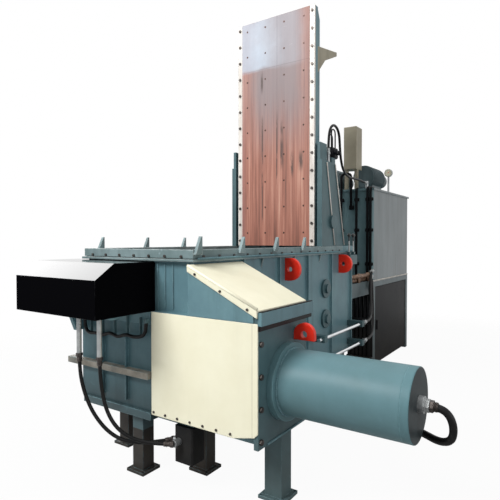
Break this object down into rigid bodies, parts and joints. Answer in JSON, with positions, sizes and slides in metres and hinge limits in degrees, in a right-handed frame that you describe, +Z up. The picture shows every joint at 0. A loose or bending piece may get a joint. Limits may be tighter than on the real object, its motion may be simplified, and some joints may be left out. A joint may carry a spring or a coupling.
{
  "type": "recycling baler",
  "caption": "Hydraulic scrap baler with a charging box, tilting lid, two rams at right angles, a sliding bale gate under a black cover, and an oil tank at the far end.",
  "frame": {"origin": "middle of the machine's footprint, on the floor", "axes": "+X along the side ram's cylinder, +Y from the bale gate to the oil tank, +Z up"},
  "size_m": [2.6776, 5.387, 3.848],
  "materials": {
    "teal_paint": "satin teal-grey enamel",
    "dark_teal_paint": "dark teal enamel in shade",
    "cream_paint": "satin cream enamel",
    "black_gloss": "gloss black enamel",
    "red_paint": "gloss red enamel",
    "worn_liner": "red-brown primed wear plate, scuffed",
    "bright_steel": "hard chrome",
    "zinc_bolts": "zinc plated",
    "dark_panel": "dark grey enamel",
    "tank_grey": "glossy grey enamel",
    "hose_rubber": "black hydraulic hose",
    "beige_paint": "beige-grey enamel"
  },
  "bodies": {
    "frame": {"chamber_floor": "worn_liner", "left_wall": "teal_paint", "right_wall": "teal_paint", "near_wall": "teal_paint", "rear_bulkhead": "teal_paint", "rear_cover": "teal_paint", "rim": "teal_paint", "rim_teeth": "teal_paint", "wall_liners": "worn_liner", "hinge_towers": "dark_teal_paint", "pivot_pins": "bright_steel", "first_cylinder": "teal_paint", "side_ram_housing": "teal_paint", "housing_end_plate": "teal_paint", "frame_bolts": "zinc_bolts", "side_cylinder": "teal_paint", "side_cylinder_cap": "teal_paint", "cover_frames": "teal_paint", "side_panel": "cream_paint", "cover_screws": "zinc_bolts", "hood_plate": "cream_paint", "gate_guides": "teal_paint", "gate_cylinder": "teal_paint", "gate_cover": "black_gloss", "base_legs": "dark_teal_paint", "centre_leg": "teal_paint", "manifold": "dark_teal_paint", "lifting_lugs": "red_paint", "wall_fittings": "dark_teal_paint", "hydraulic_pipes": "bright_steel", "lever_valve": "dark_teal_paint", "tank_stand": "teal_paint", "stand_panels": "dark_panel", "oil_tank": "tank_grey", "motor_pumps": "tank_grey", "valve_stack": "zinc_bolts", "pressure_gauge": "zinc_bolts", "switch_box": "beige_paint", "hose_fittings": "zinc_bolts", "gate_hose_left": "hose_rubber", "gate_hose_right": "hose_rubber", "side_cylinder_hose": "hose_rubber", "tower_hose": "hose_rubber"},
    "lid": {"lid_frame": "teal_paint", "lid_wear_plate": "worn_liner", "lid_edge_strips": "zinc_bolts", "lid_bolts": "zinc_bolts", "lid_stop_arm": "beige_paint"},
    "lid_cylinder": {"lid_cylinder_barrel": "teal_paint"},
    "lid_rod": {"lid_cylinder_rod": "bright_steel"},
    "first_ram": {"first_ram_head": "teal_paint", "first_ram_rod": "bright_steel"},
    "side_ram": {"side_ram_head": "teal_paint", "side_ram_rod": "bright_steel"},
    "bale_gate": {"gate_plate": "teal_paint", "gate_rod": "bright_steel"},
    "near_valve_lever": {"near_lever": "black_gloss"},
    "far_valve_lever": {"far_lever": "black_gloss"},
    "door": {"stand_door": "dark_panel"}
  },
  "joints": [
    {"name": "lid_hinge", "type": "hinge", "parent": "frame", "child": "lid", "pos_m": [-0.6195, -0.1245, 1.777], "axis": [1, 0, 0], "range_deg": [0, 90]},
    {"name": "lid_cylinder_swing", "type": "hinge", "parent": "frame", "child": "lid_cylinder", "pos_m": [-0.6195, 0.6105, 1.689], "axis": [1, 0, 0], "range_deg": [0, 26.51]},
    {"name": "lid_rod_slide", "type": "slide", "parent": "lid_cylinder", "child": "lid_rod", "axis": [0, -0.7608, 0.649], "range_m": [0, 0.4391]},
    {"name": "first_ram_slide", "type": "slide", "parent": "frame", "child": "first_ram", "axis": [0, -1, 0], "range_m": [0, 1.7]},
    {"name": "side_ram_slide", "type": "slide", "parent": "frame", "child": "side_ram", "axis": [-1, 0, 0], "range_m": [0, 0.56]},
    {"name": "gate_slide", "type": "slide", "parent": "frame", "child": "bale_gate", "axis": [-1, 0, 0], "range_m": [0, 0.56]},
    {"name": "near_lever_tilt", "type": "hinge", "parent": "frame", "child": "near_valve_lever", "pos_m": [-0.0365, 0.18414, 1.456], "axis": [0, 1, 0], "range_deg": [-6, 28]},
    {"name": "far_lever_tilt", "type": "hinge", "parent": "frame", "child": "far_valve_lever", "pos_m": [-0.0365, 0.30014, 1.456], "axis": [0, 1, 0], "range_deg": [-6, 28]},
    {"name": "stand_door_hinge", "type": "hinge", "parent": "frame", "child": "door", "pos_m": [-0.1395, 2.5855, 0.5], "axis": [0, 0, 1], "range_deg": [0, 100]}
  ],
  "couplings": [
    {"joint": "lid_cylinder_swing", "follows": "lid_hinge", "ratio": 0.28898},
    {"joint": "lid_rod_slide", "follows": "lid_hinge", "m_per_rad": 0.27697}
  ]
}
